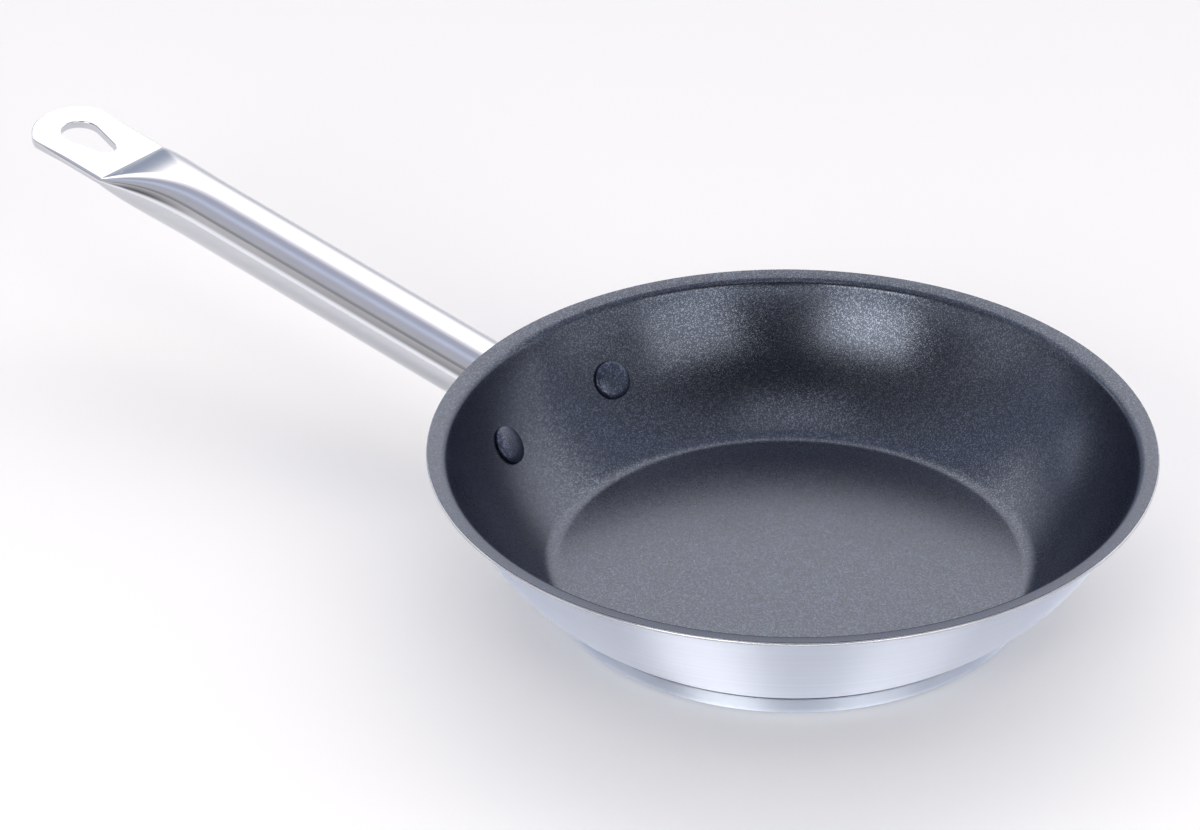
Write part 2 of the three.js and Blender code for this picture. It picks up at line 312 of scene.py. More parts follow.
@dataclass(frozen=True)
class BowlForm:
    """Outside of the bowl: flat floor, floor fillet, bulged wall, lip fillet and straight lip."""

    rim_radius: float
    underside: float
    rim_height: float = 0.0435
    foot_radius: float = 0.0667
    lip_width: float = 0.0049
    lip_rise: float = 0.002
    lip_fillet: float = 0.0018
    wall_bulge: float = 0.0037
    floor_fillet: float = 0.009
    floor_rings: int = 6
    fillet_steps: int = 14
    wall_steps: int = 40
    lip_steps: int = 10
    edge_steps: int = 8

    @cached_property
    def rim(self) -> Rows:
        """Outermost point of the generatrix."""
        return np.array([self.rim_radius, self.rim_height])

    @cached_property
    def lip_root(self) -> Rows:
        """Point where the wall ends and the lip's fillet begins."""
        return self.rim - (self.lip_width, self.lip_rise)

    @cached_property
    def wall(self) -> Bend:
        """Arc of the wall, from the floor's fillet up to the lip."""
        foot = np.array([self.foot_radius, self.underside])
        chord = self.lip_root - foot
        half = np.linalg.norm(chord) / 2
        radius = (half**2 + self.wall_bulge**2) / (2 * self.wall_bulge)
        inward = np.array([-chord[1], chord[0]]) / (2 * half)
        centre = (foot + self.lip_root) / 2 + inward * (radius - self.wall_bulge)
        rise = self.underside + self.floor_fillet - centre[1]
        start = math.asin(rise / (radius - self.floor_fillet))
        end = math.atan2(*(self.lip_root - centre)[::-1])
        return Bend(centre, radius, start, end)

    @cached_property
    def floor_bend(self) -> Bend:
        """Arc between the floor and the wall."""
        reach = self.wall.radius - self.floor_fillet
        turn = self.wall.start
        centre = self.wall.centre + reach * np.array([math.cos(turn), math.sin(turn)])
        return Bend(centre, self.floor_fillet, -math.pi / 2, turn)

    @cached_property
    def lip_bend(self) -> Bend:
        """Arc that turns the wall outwards into the lip."""
        turn = self.wall.end
        centre = self.lip_root + self.lip_fillet * np.array([math.cos(turn), math.sin(turn)])
        to_rim = self.rim - centre
        end = math.atan2(to_rim[1], to_rim[0]) + math.acos(self.lip_fillet / np.linalg.norm(to_rim))
        return Bend(centre, self.lip_fillet, turn + math.pi, end)

    @cached_property
    def lip_axes(self) -> tuple[Rows, Rows]:
        """Directions along the straight lip and square to it."""
        turn = self.lip_bend.end
        return np.array([math.sin(turn), -math.cos(turn)]), np.array([math.cos(turn), math.sin(turn)])

    def lip_point(self, offset: float, trim: float) -> Rows:
        """Gives a point on the straight lip.

        Args:
            offset: distance inwards from the outside.
            trim: distance short of the rim.

        Returns:
            Its radius and height.
        """
        along, square = self.lip_axes
        return self.rim + offset * square - trim * along

    def curve(self, offset: float, trim: float) -> Rows:
        """Gives the generatrix moved inwards.

        Args:
            offset: distance inwards from the outside.
            trim: distance short of the rim.

        Returns:
            Rows of radius and height from the axis to the lip's edge.
        """
        bend = self.floor_bend.rows(-offset, self.fillet_steps)
        radii = np.linspace(0, bend[0, 0], self.floor_rings, endpoint=False)
        floor = np.c_[radii, np.full(self.floor_rings, self.underside + offset)]
        side = self.wall.rows(-offset, self.wall_steps)[1:]
        flare = self.lip_bend.rows(offset, self.lip_steps)[1:]
        return np.vstack([floor, bend, side, flare, self.lip_point(offset, trim)])

    def layer(self, near: float, far: float, trim: float, corner: float) -> Rows:
        """Gives the outline of a layer of the bowl.

        Args:
            near: offset of its outer face.
            far: offset of its inner face.
            trim: distance that its edge stops short of the rim.
            corner: radius of the edge's corners.

        Returns:
            Closed rows of radius and height.
        """
        along, square = self.lip_axes
        turns = np.linspace(0, math.pi / 2, self.edge_steps + 1)[1:, None]
        out = corner * np.sin(turns) * along
        up = corner * np.cos(turns) * square
        reach = trim + corner
        low = self.lip_point(near + corner, reach) + out - up
        high = self.lip_point(far - corner, reach) + out + up
        return np.vstack([self.curve(near, reach), low, high[::-1], self.curve(far, reach)[::-1]])

    def outside_radius(self, height: float) -> float:
        """Radius of the wall's outside at a height."""
        return self.wall.centre[0] + math.sqrt(self.wall.radius**2 - (height - self.wall.centre[1]) ** 2)

    def outside_height(self, radius: float) -> float:
        """Height of the outside above a radius between the floor and the foot of the wall."""
        bend = self.floor_bend
        return bend.centre[1] - math.sqrt(bend.radius**2 - (radius - bend.centre[0]) ** 2)

    def wall_point(self, across: Rows, height: Rows, offset: Rows) -> Rows:
        """Finds points on the handle's side of the wall.

        Args:
            across: Y of each point.
            height: Z of each point.
            offset: distance of each point outwards from the wall's outside.

        Returns:
            Rows of three coordinates.
        """
        drop = height - self.wall.centre[1]
        radius = self.wall.centre[0] + np.sqrt((self.wall.radius + offset) ** 2 - drop**2)
        return np.c_[-np.sqrt(radius**2 - across**2), across, height]

    def wall_distance(self, points: Rows) -> Rows:
        """Distance of each point from the circle that the wall's arc is turned from."""
        radius = np.hypot(points[:, 0], points[:, 1])
        return np.hypot(radius - self.wall.centre[0], points[:, 2] - self.wall.centre[1])

    def wall_normal(self, points: Rows) -> Rows:
        """Unit directions square to the wall and out of it, through each point."""
        radius = np.hypot(points[:, 0], points[:, 1])[:, None]
        lean = np.c_[radius[:, 0] - self.wall.centre[0], points[:, 2] - self.wall.centre[1]]
        lean = lean / np.linalg.norm(lean, axis=1)[:, None]
        return np.c_[lean[:, :1] * points[:, :2] / radius, lean[:, 1]]


# Finishes


class Graph:
    """Adds and links the nodes of one material, world or group."""

    def __init__(self, tree: Tree) -> None:
        """Starts with an empty tree."""
        self.tree = tree
        tree.nodes.clear()

    def node(self, kind: str, inputs: dict[str | int, Any] | None = None, **options: Any) -> bpy.types.Node:
        """Adds a node.

        Args:
            kind: the node's type.
            inputs: a value or a socket for each input named.
            options: the node's own settings.

        Returns:
            The node.
        """
        made = self.tree.nodes.new(kind)
        for name, option in options.items():
            setattr(made, name, option)
        for key, given in (inputs or {}).items():
            if isinstance(given, Output):
                self.link(given, made.inputs[key])
            else:
                made.inputs[key].default_value = given
        return made

    def link(self, given: Output, wanted: bpy.types.NodeSocket) -> None:
        """Joins an output to an input."""
        self.tree.links.new(given, wanted)

    def math(self, operation: str, *terms: Any) -> Output:
        """Adds a Math node and returns its value."""
        return self.node("ShaderNodeMath", dict(enumerate(terms)), operation=operation).outputs[0]

    def vector(self, operation: str, *terms: Any) -> Output:
        """Adds a Vector Math node and returns its vector."""
        return self.node("ShaderNodeVectorMath", dict(enumerate(terms)), operation=operation).outputs[0]

    def measure(self, operation: str, *terms: Any) -> Output:
        """Adds a Vector Math node and returns its value."""
        made = self.node("ShaderNodeVectorMath", dict(enumerate(terms)), operation=operation)
        return made.outputs["Value"]

    def noise(self, vector: Output, scale: Any, **inputs: float) -> Output:
        """Adds a Noise Texture node and returns its value."""
        return self.node("ShaderNodeTexNoise", {"Vector": vector, "Scale": scale, **inputs}).outputs[0]

    def remap(self, given: Any, span: Span, to_low: float, to_high: float) -> Output:
        """Adds a smooth Map Range node and returns its value."""
        low, high = span
        inputs = {"Value": given, "From Min": low, "From Max": high, "To Min": to_low, "To Max": to_high}
        return self.node("ShaderNodeMapRange", inputs, interpolation_type="SMOOTHSTEP").outputs["Result"]

    def mix(self, share: Any, first: Any, second: Any) -> Output:
        """Adds a colour mix and returns its colour."""
        colours = [given if isinstance(given, Output) else (*given, 1) for given in (first, second)]
        # A Mix node's colour sockets share their names with its other sockets, so they go by number.
        inputs = {0: share, 6: colours[0], 7: colours[1]}
        return self.node("ShaderNodeMix", inputs, data_type="RGBA").outputs[2]

    def group(self, tree: Tree, inputs: dict[str | int, Any]) -> bpy.types.bpy_prop_collection:
        """Places a shared group and returns its outputs by name."""
        return self.node("ShaderNodeGroup", inputs, node_tree=tree).outputs


def new_material(name: str) -> tuple[Material, Graph]:
    """Starts a material with an empty graph."""
    material = bpy.data.materials.new(name)
    material.use_nodes = True
    return material, Graph(material.node_tree)


class Socket(Enum):
    """Kinds of socket on a shared group."""

    VALUE = "NodeSocketFloat"
    VECTOR = "NodeSocketVector"


def new_group(name: str, inputs: dict[str, Socket], outputs: dict[str, Socket]) -> tuple[Graph, Any, Any]:
    """Starts a shared group.

    Args:
        name: name of the group.
        inputs: kind of each input by name.
        outputs: kind of each output by name.

    Returns:
        The group's graph, its input sockets and its output sockets.
    """
    tree = bpy.data.node_groups.new(name, "ShaderNodeTree")
    graph = Graph(tree)
    for side, sockets in (("INPUT", inputs), ("OUTPUT", outputs)):
        for label, kind in sockets.items():
            tree.interface.new_socket(label, in_out=side, socket_type=kind.value)
    given = graph.node("NodeGroupInput").outputs
    wanted = graph.node("NodeGroupOutput").inputs
    return graph, given, wanted


@dataclass(frozen=True)
class SharedEffects:
    """Effects that more than one finish uses, each built once as a group."""

    broad_scale: float = 0.09
    broad_share: float = 0.6
    shade_span: Span = (0.3, 0.7)
    smudge_scale: float = 34
    smudge_span: Span = (0.45, 0.75)
    hairline_turn: tuple[float, float, float] = (0.4, 0.3, 0.7)
    hairline_density: tuple[float, float, float] = (40, 900, 900)
    hairline_span: Span = (0.7, 0.76)
    flake_span: Span = (0.7, 0.8)
    film_scale: float = 0.45

    @cached_property
    def fine_lines(self) -> Tree:
        """Lines left by a tool: the vector comes stretched, with little change along the lines."""
        graph, given, wanted = new_group(
            "fine_lines",
            {"Vector": Socket.VECTOR},
            {"Height": Socket.VALUE, "Shade": Socket.VALUE},
        )
        fine = graph.noise(given["Vector"], 1, Detail=3, Roughness=0.7)
        broad = graph.noise(given["Vector"], self.broad_scale, Detail=2)
        graph.link(fine, wanted["Height"])
        rest = graph.math("MULTIPLY", fine, 1 - self.broad_share)
        total = graph.math("MULTIPLY_ADD", broad, self.broad_share, rest)
        graph.link(graph.remap(total, self.shade_span, 0, 1), wanted["Shade"])
        return graph.tree

    @cached_property
    def handling_marks(self) -> Tree:
        """Faint smudges from handling and polishing, and a few hairlines."""
        graph, given, wanted = new_group(
            "handling_marks",
            {"Vector": Socket.VECTOR},
            {"Smudge": Socket.VALUE, "Hairline": Socket.VALUE},
        )
        cloud = graph.noise(given["Vector"], self.smudge_scale, Detail=4, Distortion=0.6)
        graph.link(graph.remap(cloud, self.smudge_span, 0, 1), wanted["Smudge"])
        turned = {"Vector": given["Vector"], "Rotation": self.hairline_turn, "Scale": self.hairline_density}
        slanted = graph.node("ShaderNodeMapping", turned)
        threads = graph.noise(slanted.outputs[0], 1, Detail=1)
        graph.link(graph.remap(threads, self.hairline_span, 0, 1), wanted["Hairline"])
        return graph.tree

    @cached_property
    def mineral_grain(self) -> Tree:
        """Sprayed coating: mineral grains that catch the light, in a slightly uneven film."""
        graph, given, wanted = new_group(
            "mineral_grain",
            {"Vector": Socket.VECTOR, "Fineness": Socket.VALUE, "Tilt": Socket.VALUE},
            {
                "Speckle": Socket.VALUE,
                "Flake": Socket.VALUE,
                "Height": Socket.VALUE,
                "Normal": Socket.VECTOR,
            },
        )
        cells = {"Vector": given["Vector"], "Scale": given["Fineness"]}
        grains = graph.node("ShaderNodeTexVoronoi", cells).outputs["Color"]
        tone = graph.node("ShaderNodeSeparateColor", {"Color": grains}).outputs
        graph.link(tone["Red"], wanted["Speckle"])
        graph.link(graph.remap(tone["Green"], self.flake_span, 0, 1), wanted["Flake"])
        scale = graph.math("MULTIPLY", given["Fineness"], self.film_scale)
        graph.link(graph.noise(given["Vector"], scale, Detail=2), wanted["Height"])
        centred = {0: graph.vector("SUBTRACT", grains, (0.5, 0.5, 0.5)), "Scale": given["Tilt"]}
        tilt = graph.node("ShaderNodeVectorMath", centred, operation="SCALE").outputs[0]
        facing = graph.node("ShaderNodeNewGeometry").outputs["Normal"]
        turned = graph.vector("NORMALIZE", graph.vector("ADD", facing, tilt))
        graph.link(turned, wanted["Normal"])
        return graph.tree


class Grain(Enum):
    """How the fine lines of a metal finish run."""

    TURNED = "round the pan's axis"
    DRAWN = "along the handle"
    EVEN = "no direction"


@dataclass(frozen=True)
class MetalFinish:
    """Bare metal with the fine lines of its making."""

    name: str
    colour: Colour
    shade: Colour
    roughness: float
    grain: Grain
    line_width: float
    line_depth: float
    spread: float = 0.05
    smudge: float = 0.05
    anisotropy: float = 0.0
    stretch: float = 60

    def build(self, effects: SharedEffects, lean: float) -> Material:
        """Builds the material.

        Args:
            effects: the shared groups.
            lean: rise of the handle, for lines that run along it.

        Returns:
            The material.
        """
        material, graph = new_material(self.name)
        place = graph.node("ShaderNodeTexCoord").outputs["Object"]
        lines = graph.group(effects.fine_lines, {"Vector": self._line_space(graph, place, lean)})
        marks = graph.group(effects.handling_marks, {"Vector": place})
        least = self.roughness - self.spread / 2
        rough = graph.math("MULTIPLY_ADD", lines["Shade"], self.spread, least)
        for mark in ("Smudge", "Hairline"):
            rough = graph.math("MULTIPLY_ADD", marks[mark], self.smudge, rough)
        relief = {"Height": lines["Height"], "Strength": 1, "Distance": self.line_depth}
        bump = graph.node("ShaderNodeBump", relief)
        shader = graph.node(
            "ShaderNodeBsdfPrincipled",
            {
                "Base Color": graph.mix(lines["Shade"], self.colour, self.shade),
                "Metallic": 1,
                "Roughness": rough,
                "Normal": bump.outputs["Normal"],
                "Anisotropic": self.anisotropy,
            },
        )
        if self.grain is Grain.TURNED:
            tangent = graph.node("ShaderNodeTangent", direction_type="RADIAL", axis="Z")
            graph.link(tangent.outputs[0], shader.inputs["Tangent"])
            shader.inputs["Anisotropic Rotation"].default_value = QUARTER_TURN
        graph.node("ShaderNodeOutputMaterial", {"Surface": shader.outputs[0]})
        return material

    def _line_space(self, graph: Graph, place: Output, lean: float) -> Output:
        """Stretches space along the lines.

        Args:
            graph: the material's graph.
            place: position on the piece.
            lean: rise of the handle.

        Returns:
            A vector that changes by about one across a line and little along it.
        """
        dense = 1 / self.line_width
        if self.grain is Grain.TURNED:
            flat = graph.vector("MULTIPLY", place, (1, 1, 0))
            radius = graph.measure("LENGTH", flat)
            height = graph.node("ShaderNodeSeparateXYZ", {"Vector": place}).outputs["Z"]
            across = graph.math("MULTIPLY", graph.math("ADD", radius, height), dense)
            way = graph.vector("NORMALIZE", flat)
            bearing = graph.node("ShaderNodeSeparateXYZ", {"Vector": way}).outputs
            joined = {"X": bearing["X"], "Y": bearing["Y"], "Z": across}
            return graph.node("ShaderNodeCombineXYZ", joined).outputs[0]
        along = dense / self.stretch if self.grain is Grain.DRAWN else dense
        turned = graph.node("ShaderNodeMapping", {"Vector": place, "Rotation": (0, lean, 0)})
        return graph.vector("MULTIPLY", turned.outputs[0], (along, dense, dense))


@dataclass(frozen=True)
class CoatingFinish:
    """Dark sprayed coating with mineral grains."""

    name: str
    colour: Colour
    grain_colour: Colour
    flake_colour: Colour
    roughness: float
    specular: float
    grain_size: float
    tilt: float
    film_depth: float
    gloss_spread: float = 0.08
    smudge: float = 0.02
    tint: Colour = (0.66, 0.76, 1.0)

    def build(self, effects: SharedEffects) -> Material:
        """Builds the material.

        Args:
            effects: the shared groups.

        Returns:
            The material.
        """
        material, graph = new_material(self.name)
        place = graph.node("ShaderNodeTexCoord").outputs["Object"]
        inputs = {"Vector": place, "Fineness": 1 / self.grain_size, "Tilt": self.tilt}
        grain = graph.group(effects.mineral_grain, inputs)
        marks = graph.group(effects.handling_marks, {"Vector": place})
        ground = graph.mix(grain["Speckle"], self.colour, self.grain_colour)
        least = self.roughness - self.gloss_spread / 2
        rough = graph.math("MULTIPLY_ADD", grain["Speckle"], self.gloss_spread, least)
        rough = graph.math("MULTIPLY_ADD", marks["Smudge"], self.smudge, rough)
        bump = graph.node(
            "ShaderNodeBump",
            {
                "Height": grain["Height"],
                "Strength": 1,
                "Distance": self.film_depth,
                "Normal": grain["Normal"],
            },
        )
        shader = graph.node(
            "ShaderNodeBsdfPrincipled",
            {
                "Base Color": graph.mix(grain["Flake"], ground, self.flake_colour),
                "Metallic": grain["Flake"],
                "Roughness": rough,
                "Specular IOR Level": self.specular,
                "Specular Tint": (*self.tint, 1),
                "Normal": bump.outputs["Normal"],
            },
        )
        graph.node("ShaderNodeOutputMaterial", {"Surface": shader.outputs[0]})
        return material


SPUN_STEEL = MetalFinish(
    name="spun_steel",
    colour=(0.69, 0.73, 0.825),
    shade=(0.64, 0.68, 0.775),
    roughness=0.60,
    grain=Grain.TURNED,
    line_width=0.00025,
    line_depth=1.2e-6,
    anisotropy=1.0,
)
CUT_EDGE = MetalFinish(
    name="cut_edge",
    colour=(0.54, 0.55, 0.58),
    shade=(0.48, 0.49, 0.52),
    roughness=0.20,
    grain=Grain.EVEN,
    line_width=0.0004,
    line_depth=0.5e-6,
)
BASE_STEEL = MetalFinish(
    name="base_steel",
    colour=(0.83, 0.89, 1.0),
    shade=(0.77, 0.83, 0.95),
    roughness=0.55,
    grain=Grain.TURNED,
    line_width=0.0003,
    line_depth=2.0e-6,
    anisotropy=1.0,
)
HANDLE_STEEL = MetalFinish(
    name="handle_steel",
    colour=(0.61, 0.62, 0.66),
    shade=(0.58, 0.59, 0.63),
    roughness=0.07,
    grain=Grain.DRAWN,
    line_width=0.0002,
    line_depth=0.2e-6,
    spread=0.03,
    smudge=0.03,
)
WELD_STEEL = MetalFinish(
    name="weld_steel",
    colour=(0.58, 0.58, 0.60),
    shade=(0.48, 0.46, 0.45),
    roughness=0.30,
    grain=Grain.EVEN,
    line_width=0.0006,
    line_depth=8.0e-6,
    spread=0.12,
)
RIVET_STEEL = MetalFinish(
    name="rivet_steel",
    colour=(0.63, 0.64, 0.67),
    shade=(0.58, 0.59, 0.63),
    roughness=0.22,
    grain=Grain.EVEN,
    line_width=0.0004,
    line_depth=2.0e-6,
)
CORE_ALUMINIUM = MetalFinish(
    name="core_aluminium",
    colour=(0.80, 0.81, 0.82),
    shade=(0.72, 0.73, 0.74),
    roughness=0.38,
    grain=Grain.TURNED,
    line_width=0.0005,
    line_depth=4.0e-6,
)
LINING = CoatingFinish(
    name="lining",
    colour=(0.004, 0.005, 0.010),
    grain_colour=(0.009, 0.010, 0.018),
    flake_colour=(0.13, 0.15, 0.19),
    roughness=0.25,
    specular=0.92,
    grain_size=0.00025,
    tilt=0.04,
    film_depth=0.3e-5,
)
RIVET_LINING = CoatingFinish(
    name="rivet_lining",
    colour=(0.006, 0.009, 0.022),
    grain_colour=(0.011, 0.016, 0.036),
    flake_colour=(0.12, 0.14, 0.20),
    roughness=0.32,
    specular=0.77,
    grain_size=0.00034,
    tilt=0.14,
    film_depth=2.0e-5,
)


# Sub-assemblies


@dataclass
class Bowl:
    """Drawn steel bowl and the nonstick lining on its inside."""

    form: BowlForm
    sheet: float = 0.0008
    lining_gap: float = 0.00005
    lining: float = 0.00015
    lining_corner: float = 0.0000675
    bare_edge: float = 0.0002
    cut_corner: float = 0.00036
    segments: int = 288

    @property
    def lining_face(self) -> float:
        """Offset of the lining's free face from the bowl's outside."""
        return self.sheet + self.lining_gap + self.lining

    def build(self, rivets: "Rivets", effects: SharedEffects, lean: float) -> None:
        """Builds and dresses the bowl and its lining.

        Args:
            rivets: the rivets that both are bored for.
            effects: the shared groups.
            lean: rise of the handle.
        """
        outline = self.form.layer(0, self.sheet, 0, self.cut_corner)
        shell = rivets.bore(revolve(outline, self.segments).mesh("bowl"))
        self._mark_edge(shell)
        finishes = [SPUN_STEEL.build(effects, lean), CUT_EDGE.build(effects, lean)]
        install(shell, "pan_shell", finishes)
        near = self.sheet + self.lining_gap
        outline = self.form.layer(near, self.lining_face, self.bare_edge, self.lining_corner)
        coat = rivets.bore(revolve(outline, self.segments).mesh("lining"))
        install(coat, "nonstick_coating", [LINING.build(effects)])

    def _mark_edge(self, shell: Mesh) -> None:
        """Gives the faces of the rounded cut edge the second finish."""
        inner = self.form.rim_radius - self.cut_corner
        cut = [int(math.hypot(face.center.x, face.center.y) > inner) for face in shell.polygons]
        shell.polygons.foreach_set("material_index", cut)


@dataclass
class Base:
    """Steel dish pressed round an aluminium disc under the bowl."""

    form: BowlForm
    radius: float
    sheet: float = 0.0006
    edge_radius: float = 0.0031
    seat_gap: float = 0.0003
    edge_steps: int = 16
    brim_steps: int = 6
    rings: int = 6
    segments: int = 288

    def build(self, effects: SharedEffects, lean: float) -> None:
        """Builds and dresses the dish, and dresses the sealed disc.

        Args:
            effects: the shared groups.
            lean: rise of the handle.
        """
        dish = revolve(self._outline(), self.segments).mesh("base_dish")
        install(dish, "base_capsule", [BASE_STEEL.build(effects, lean)])
        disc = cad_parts["base_core"]
        disc.data.materials.clear()
        disc.data.materials.append(CORE_ALUMINIUM.build(effects, lean))
        log.info("base_core keeps its solid")

    def _outline(self) -> Rows:
        """Closed outline of the dish, with a rounded brim just under the bowl."""
        half = self.sheet / 2
        inner = self.radius - self.sheet
        top = self.form.outside_height(inner) - self.seat_gap
        turns = np.linspace(0, math.pi, self.brim_steps + 1)[:, None]
        brim = np.array([self.radius - half, top - half]) + half * np.c_[np.cos(turns), np.sin(turns)]
        return np.vstack([self._face(0), brim, self._face(self.sheet)[::-1]])

    def _face(self, offset: float) -> Rows:
        """Rows of one face of the dish, from the axis up to its side."""
        centre = np.array([self.radius - self.edge_radius, self.edge_radius])
        bend = Bend(centre, self.edge_radius, -math.pi / 2, 0).rows(-offset, self.edge_steps)
        radii = np.linspace(0, bend[0, 0], self.rings, endpoint=False)
        return np.vstack([np.c_[radii, np.full(self.rings, offset)], bend])


@dataclass
class Rivets:
    """Two rivets with coated heads inside the wall and bare tails on the bracket."""

    form: BowlForm
    mount_height: float
    lining_face: float
    bracket_face: float = 0.0023
    lift: float = 0.0007
    spacing: float = 0.0474
    shank_radius: float = 0.0024
    head_radius: float = 0.00565
    head_height: float = 0.0017
    tail_radius: float = 0.0042
    tail_height: float = 0.0019
    edge: float = 0.0004
    fullness: float = 2.3
    seat_gap: float = 0.00008
    hole_clearance: float = 0.0003
    dome_steps: int = 14
    segments: int = 64
    hole_sides: int = 32

    @property
    def height(self) -> float:
        """Height of the rivets on the outside of the wall."""
        return self.mount_height + self.lift

    @cached_property
    def places(self) -> dict[str, Matrix]:
        """Transform of each rivet by node, its Z axis pointing into the bowl."""
        placed = {}
        for node, side in (("rivet_left", 1), ("rivet_right", -1)):
            radius = self.form.outside_radius(self.height)
            turn = math.pi - side * math.asin(self.spacing / 2 / radius)
            spot = Vector((radius * math.cos(turn), radius * math.sin(turn), self.height))
            inward = -Vector(self.form.wall_normal(np.array([spot]))[0])
            placed[node] = Matrix.Translation(spot) @ inward.to_track_quat("Z", "Y").to_matrix().to_4x4()
        return placed

    def bore(self, mesh: Mesh) -> Mesh:
        """Bores a sheet for both rivets.

        Args:
            mesh: the sheet's closed mesh.

        Returns:
            The bored mesh.
        """
        depth = 2 * (self.bracket_face + self.lining_face + self.head_radius)
        radius = self.shank_radius + self.hole_clearance
        return drill(mesh, list(self.places.values()), radius, depth, self.hole_sides)

    def build(self, effects: SharedEffects, lean: float) -> None:
        """Builds and dresses both rivets.

        Args:
            effects: the shared groups.
            lean: rise of the handle.
        """
        finishes = [RIVET_LINING.build(effects), RIVET_STEEL.build(effects, lean)]
        for node, place in self.places.items():
            surface = revolve(self._outline(), self.segments)
            heads = [min(surface.points[i][2] for i in face) >= 0 for face in surface.faces]
            mesh = surface.moved(place).mesh(f"{node}_dressed")
            mesh.polygons.foreach_set("material_index", [0 if head else 1 for head in heads])
            install(mesh, node, finishes)

    def _outline(self) -> Rows:
        """Outline of a rivet about its own axis, from the tail's dome to the head's."""
        hollow = self.head_radius**2 / (2 * (self.form.wall.radius - self.lining_face))
        head_seat = self.lining_face + self.seat_gap + hollow
        tail_seat = -self.bracket_face - self.seat_gap
        tail = self._dome(self.tail_radius, self.tail_height) * (1, -1) + (0, tail_seat)
        head = self._dome(self.head_radius, self.head_height) + (0, head_seat)
        shank = [[self.shank_radius, tail_seat], [self.shank_radius, head_seat]]
        return np.vstack([tail[::-1], shank, head])

    def _dome(self, radius: float, height: float) -> Rows:
        """Rows of a dome from its seat to its top, full at the shoulder like a pressed head."""
        turns = np.linspace(0, math.pi / 2, self.dome_steps + 1)
        out = radius * np.cos(turns) ** (2 / self.fullness)
        up = self.edge + (height - self.edge) * np.sin(turns) ** (2 / self.fullness)
        out[-1] = 0
        # Two points round the edge below the dome.
        under = np.array([[radius - self.edge / 2, 0], [radius - self.edge / 8, self.edge / 4]])
        return np.vstack([under, np.c_[out, up]])


